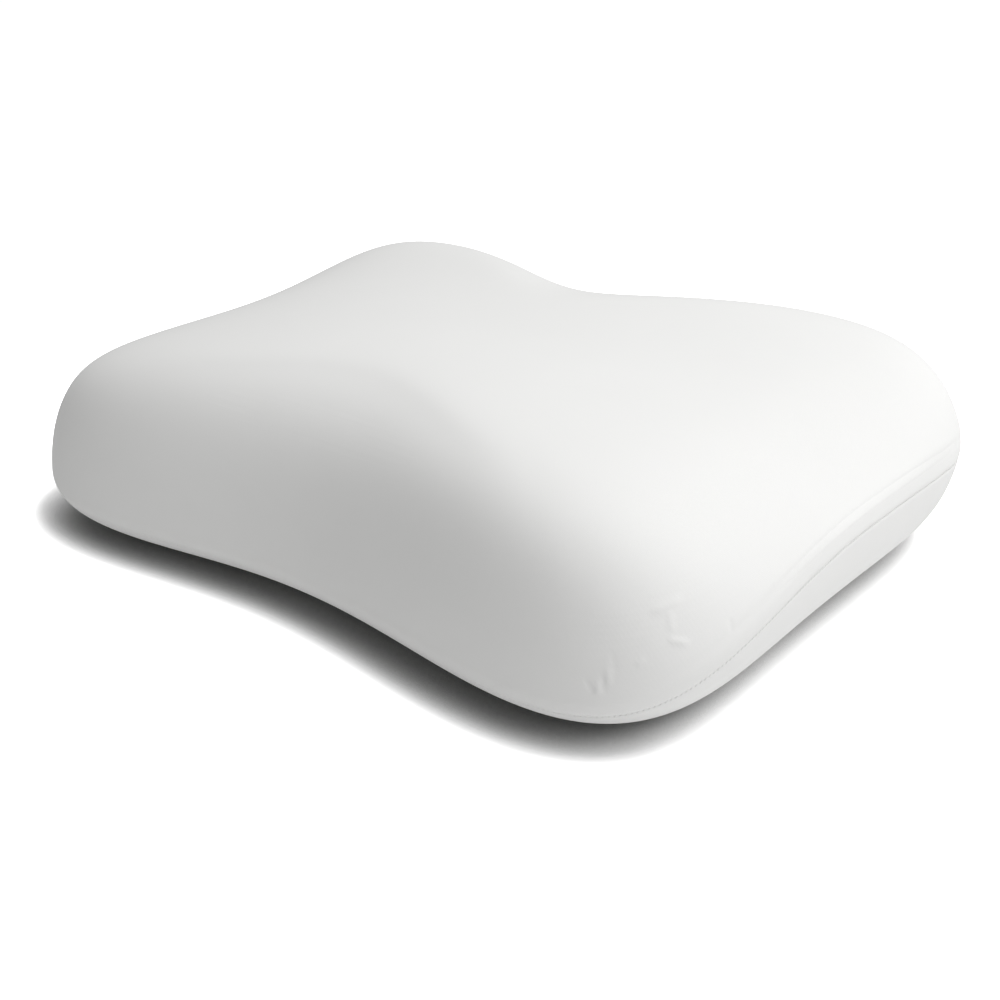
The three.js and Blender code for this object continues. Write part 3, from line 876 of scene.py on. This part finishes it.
def new_material(name, **inputs):
    material = bpy.data.materials.new(name)
    material.use_nodes = True
    shader = material.node_tree.nodes["Principled BSDF"]
    for key, value in inputs.items():
        shader.inputs[key.replace("_", " ")].default_value = value
    return material, material.node_tree, shader


def noise(tree, vector, scale, detail=2.0):
    inputs = {"Vector": vector, "Scale": scale, "Detail": detail}
    return add(tree, "ShaderNodeTexNoise", inputs).outputs["Fac"]


def spread(tree, value, low, high):
    """Maps a value from 0..1 to low..high."""
    return add(tree, "ShaderNodeMapRange", {"Value": value, "To Min": low, "To Max": high}).outputs["Result"]


def tint(tree, shader, value, dark, light):
    """Colours the shader between two greys or colours by a value from 0 to 1."""
    mix = add(tree, "ShaderNodeMix", data_type="RGBA")
    tree.links.new(value, mix.inputs["Factor"])
    mix.inputs["A"].default_value = (*dark, 1)
    mix.inputs["B"].default_value = (*light, 1)
    tree.links.new(mix.outputs["Result"], shader.inputs["Base Color"])


def bump(tree, shader, height, distance, strength):
    made = add(tree, "ShaderNodeBump", {"Height": height, "Distance": distance, "Strength": strength})
    tree.links.new(made.outputs["Normal"], shader.inputs["Normal"])


def object_vector(tree):
    return add(tree, "ShaderNodeTexCoord").outputs["Object"]


def ribs(tree, value, pitch):
    """A rounded rib every pitch metres, as a height from 0 to 1."""
    return maths(tree, "ABSOLUTE", maths(tree, "SINE", maths(tree, "MULTIPLY", value, math.pi / pitch)))


def knit_height(tree, pitch):
    """Rows of V-shaped loops on the fabric's own flat coordinates."""
    weave = add(tree, "ShaderNodeAttribute", attribute_name="weave").outputs["Vector"]
    axes = add(tree, "ShaderNodeSeparateXYZ", {"Vector": weave}).outputs
    leg = maths(tree, "PINGPONG", axes["X"], pitch / 2)
    row = maths(tree, "ADD", axes["Y"], maths(tree, "MULTIPLY", leg, 0.9))
    wale = ribs(tree, axes["X"], pitch)
    course = ribs(tree, row, pitch * 0.8)
    loops = maths(tree, "ADD", maths(tree, "MULTIPLY", wale, 0.6), maths(tree, "MULTIPLY", course, 0.4))
    return weave, loops


def knit_material(name, light, dark, pitch, strength):
    material, tree, shader = new_material(name, Roughness=0.92, Sheen_Weight=0.12, Sheen_Roughness=0.5)
    weave, loops = knit_height(tree, pitch)
    patches = noise(tree, weave, 14, 3)
    fuzz = noise(tree, weave, 2600, 2)
    tone = maths(tree, "ADD", maths(tree, "MULTIPLY", patches, 0.6), maths(tree, "MULTIPLY", loops, 0.4))
    tint(tree, shader, tone, dark, light)
    tree.links.new(spread(tree, fuzz, 0.85, 0.98), shader.inputs["Roughness"])
    height = maths(tree, "ADD", loops, maths(tree, "MULTIPLY", fuzz, 0.35))
    bump(tree, shader, height, 0.0001, strength)
    return material


def foam_material():
    material, tree, shader = new_material("memory_foam", Roughness=1.0, Subsurface_Weight=0.1)
    where = object_vector(tree)
    pores = add(tree, "ShaderNodeTexVoronoi", {"Vector": where, "Scale": 900.0}).outputs["Distance"]
    tint(tree, shader, noise(tree, where, 22, 3), (0.86, 0.82, 0.70), (0.93, 0.90, 0.80))
    bump(tree, shader, pores, 0.0004, 0.6)
    return material


def woven_material(name, light, dark, roughness, pitch):
    material, tree, shader = new_material(name, Roughness=roughness)
    where = object_vector(tree)
    axes = add(tree, "ShaderNodeSeparateXYZ", {"Vector": where}).outputs
    warp = ribs(tree, maths(tree, "ADD", axes["X"], axes["Y"]), pitch)
    weft = ribs(tree, maths(tree, "SUBTRACT", axes["X"], axes["Y"]), pitch)
    weave = maths(tree, "MULTIPLY", warp, weft)
    tint(tree, shader, weave, dark, light)
    worn = spread(tree, noise(tree, where, 300), roughness - 0.08, roughness + 0.05)
    tree.links.new(worn, shader.inputs["Roughness"])
    bump(tree, shader, weave, 0.00008, 0.5)
    return material


def thread_material():
    material, tree, shader = new_material("sewing_thread", Roughness=0.7, Sheen_Weight=0.2)
    where = object_vector(tree)
    twist = noise(tree, where, 3000, 1)
    tint(tree, shader, twist, (0.72, 0.72, 0.71), (0.82, 0.82, 0.81))
    bump(tree, shader, twist, 0.00005, 0.4)
    return material


def satin_material():
    material, tree, shader = new_material("label_satin", Roughness=0.4, Anisotropic=0.4, Sheen_Weight=0.1)
    where = object_vector(tree)
    axes = add(tree, "ShaderNodeSeparateXYZ", {"Vector": where}).outputs
    floats = ribs(tree, axes["X"], 0.0003)
    tint(tree, shader, noise(tree, where, 60), (0.82, 0.82, 0.81), (0.88, 0.88, 0.87))
    tree.links.new(spread(tree, floats, 0.32, 0.48), shader.inputs["Roughness"])
    bump(tree, shader, floats, 0.00003, 0.4)
    return material


def nylon_material():
    material, tree, shader = new_material("coil_nylon", Roughness=0.35, Subsurface_Weight=0.15)
    where = object_vector(tree)
    tint(tree, shader, noise(tree, where, 80), (0.80, 0.80, 0.79), (0.86, 0.86, 0.85))
    tree.links.new(spread(tree, noise(tree, where, 500), 0.28, 0.45), shader.inputs["Roughness"])
    return material


def lacquer_material():
    """White lacquer on a zinc casting, rubbed thin along its edges."""
    material, tree, shader = new_material("slider_lacquer", Coat_Weight=0.4, Coat_Roughness=0.15)
    where = object_vector(tree)
    rounded = add(tree, "ShaderNodeBevel", {"Radius": 0.0005}, samples=4).outputs["Normal"]
    flat = add(tree, "ShaderNodeNewGeometry").outputs["Normal"]
    match = add(tree, "ShaderNodeVectorMath", {0: rounded, 1: flat}, operation="DOT_PRODUCT").outputs["Value"]
    rubbed = maths(tree, "MULTIPLY", maths(tree, "SUBTRACT", 1.0, match), 2.0)
    worn = maths(tree, "MULTIPLY", rubbed, noise(tree, where, 900, 3))
    tint(tree, shader, worn, (0.80, 0.80, 0.79), (0.45, 0.45, 0.44))
    tree.links.new(worn, shader.inputs["Metallic"])
    tree.links.new(spread(tree, noise(tree, where, 700, 3), 0.25, 0.42), shader.inputs["Roughness"])
    bump(tree, shader, noise(tree, where, 1500, 2), 0.00002, 0.3)
    return material


def aluminium_material():
    material, tree, shader = new_material("stop_aluminium", Metallic=1.0, Anisotropic=0.3)
    where = object_vector(tree)
    scratches = noise(tree, where, 2500, 4)
    tint(tree, shader, noise(tree, where, 400), (0.62, 0.63, 0.64), (0.78, 0.79, 0.80))
    tree.links.new(spread(tree, scratches, 0.25, 0.5), shader.inputs["Roughness"])
    bump(tree, shader, scratches, 0.00001, 0.4)
    return material


def make_materials():
    return {
        "knit": knit_material("cover_knit", (0.83, 0.83, 0.82), (0.79, 0.79, 0.78), 0.0009, 0.25),
        "liner": knit_material("liner_jersey", (0.85, 0.85, 0.84), (0.78, 0.78, 0.77), 0.0006, 0.3),
        "foam": foam_material(),
        "tape": woven_material("zip_tape_weave", (0.82, 0.82, 0.81), (0.68, 0.68, 0.67), 0.8, 0.0006),
        "thread": thread_material(),
        "satin": satin_material(),
        "nylon": nylon_material(),
        "lacquer": lacquer_material(),
        "aluminium": aluminium_material(),
    }


# ---- The stage ----

CAMERA = {
    "azimuth": 38.89,
    "elevation": 25.45,
    "roll": -0.91,
    "distance": 0.7975,
    "lens": 46.8,
    "aim": (0.0145, -0.0357, 0.0385),  # to the right, up, and above the ground before those two
    "shift": (-0.0069, 0.0085),
}


def make_camera():
    """The camera looks down at the near corner between the front and the +X end."""
    azimuth, elevation = math.radians(CAMERA["azimuth"]), math.radians(CAMERA["elevation"])
    back = Vector((
        math.sin(azimuth) * math.cos(elevation),
        -math.cos(azimuth) * math.cos(elevation),
        math.sin(elevation),
    ))
    right = Vector((math.cos(azimuth), math.sin(azimuth), 0))
    up = back.cross(right)
    aim_right, aim_up, aim_height = CAMERA["aim"]
    target = aim_right * right + aim_up * up + Vector((0, 0, aim_height))
    roll = math.radians(CAMERA["roll"])
    rolled_right = right * math.cos(roll) + up * math.sin(roll)
    rolled_up = up * math.cos(roll) - right * math.sin(roll)
    data = bpy.data.cameras.new("camera")
    data.lens = CAMERA["lens"]
    data.shift_x, data.shift_y = CAMERA["shift"]
    data.clip_start = 0.01
    camera = bpy.data.objects.new("camera", data)
    turn = Matrix((rolled_right, rolled_up, back)).transposed()
    camera.matrix_world = Matrix.Translation(target + back * CAMERA["distance"]) @ turn.to_4x4()
    bpy.context.scene.collection.objects.link(camera)
    bpy.context.scene.camera = camera


FLOOR = {"half_size": 12, "drop": 0.0003, "white": 0.93, "shown": 2.7}
# The contact shadow is painted shade: near the object, ambient occlusion darkens the floor's colour as the
# camera sees it.
CONTACT_SHADOW = {"reach": 0.028, "power": 2.0, "faces": (0.1, 0.85, 0.5)}  # it is lit from where it faces


def floor_material():
    """White paint, shown overexposed as in a studio cut-out, with the real shade close to the object kept and
    a painted contact shadow added, which darkens the colour the camera sees by ambient occlusion near the
    object.

    It is clear when the camera is below it, so that the underside can be seen."""
    material = bpy.data.materials.new("floor_white")
    material.use_nodes = True
    tree = material.node_tree
    tree.nodes.clear()
    faces = Vector(CONTACT_SHADOW["faces"]).normalized()
    facing = add(tree, "ShaderNodeCombineXYZ", {"X": faces.x, "Y": faces.y, "Z": faces.z}).outputs[0]
    occlusion = {"Distance": CONTACT_SHADOW["reach"], "Normal": facing}
    # Painted contact shadow: the occlusion close to the object darkens the floor colour that the camera sees.
    nearness = add(tree, "ShaderNodeAmbientOcclusion", occlusion, samples=16)
    openness = maths(tree, "POWER", nearness.outputs["AO"], CONTACT_SHADOW["power"])
    shown = maths(tree, "MULTIPLY", openness, FLOOR["shown"])
    seen = add(tree, "ShaderNodeLightPath").outputs["Is Camera Ray"]
    tone = add(tree, "ShaderNodeMix", {"Factor": seen, "A": FLOOR["white"], "B": shown}).outputs["Result"]
    paint = add(tree, "ShaderNodeBsdfDiffuse", {"Color": tone}).outputs[0]
    clear = add(tree, "ShaderNodeBsdfTransparent").outputs[0]
    eye = add(
        tree, "ShaderNodeVectorTransform", {"Vector": (0, 0, 0)},
        vector_type="POINT", convert_from="CAMERA", convert_to="WORLD",
    ).outputs[0]
    height = add(tree, "ShaderNodeSeparateXYZ", {"Vector": eye}).outputs["Z"]
    below = maths(tree, "LESS_THAN", height, 0.0)
    mix = add(tree, "ShaderNodeMixShader", {0: below, 1: paint, 2: clear}).outputs[0]
    add(tree, "ShaderNodeOutputMaterial", {"Surface": mix})
    return material


def make_floor():
    size = FLOOR["half_size"]
    corners = [(-size, -size), (size, -size), (size, size), (-size, size)]
    mesh = bpy.data.meshes.new("floor")
    mesh.from_pydata([(x, y, -FLOOR["drop"]) for x, y in corners], [], [(0, 1, 2, 3)])
    mesh.materials.append(floor_material())
    floor = bpy.data.objects.new("floor", mesh)
    bpy.context.scene.collection.objects.link(floor)


# Each light's direction from the object, as degrees from +X towards +Y and degrees up.
LIGHTS = {
    "key": {"around": 45, "up": 65, "power": 33, "size": 1.4},
    "end_fill": {"around": 0, "up": 45, "power": 16.8, "size": 1.4},
    "under": {"around": -50, "up": -60, "power": 26, "size": 1.0},
}
LIGHT_DISTANCE = 2.5
WORLD_LIGHT = 0.35


def area_light(name, around, up, power, size):
    data = bpy.data.lights.new(name, "AREA")
    data.energy = power
    data.shape = "DISK"
    data.size = size
    light = bpy.data.objects.new(name, data)
    around, up = math.radians(around), math.radians(up)
    away = Vector((math.cos(around) * math.cos(up), math.sin(around) * math.cos(up), math.sin(up)))
    light.location = away * LIGHT_DISTANCE
    light.rotation_mode = "QUATERNION"
    light.rotation_quaternion = away.to_track_quat("Z", "Y")
    bpy.context.scene.collection.objects.link(light)


def make_lights():
    for name, light in LIGHTS.items():
        area_light(name, **light)
    world = bpy.data.worlds.new("studio")
    world.use_nodes = True
    tree = world.node_tree
    seen = add(tree, "ShaderNodeLightPath").outputs["Is Camera Ray"]
    strength = spread(tree, seen, WORLD_LIGHT, 1.0)
    tree.nodes["Background"].inputs["Color"].default_value = (1, 1, 1, 1)
    tree.links.new(strength, tree.nodes["Background"].inputs["Strength"])
    bpy.context.scene.world = world


# ---- The whole object ----


def build():
    materials = make_materials()
    made = [
        *cover_pieces(materials),
        *seam_thread(materials),
        *hem_thread(materials),
        *liner_piece(materials),
        *foam_piece(materials),
        *zip_pieces(materials),
        *tape_thread(materials),
        *label_piece(materials),
    ]
    for piece, slot in made:
        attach(piece, "pillow")
    for node in ("zipper_slider", "zipper_pull_tab"):
        finish_hard_node(node, materials["lacquer"], SLIDER_EDGE)
    for node in ("zipper_top_stop_front", "zipper_top_stop_rear", "zipper_bottom_stop"):
        finish_hard_node(node, materials["aluminium"], STOP_EDGE)


build()
make_floor()
make_lights()
make_camera()
bpy.context.scene.view_settings.view_transform = "Standard"

bpy.context.view_layer.update()
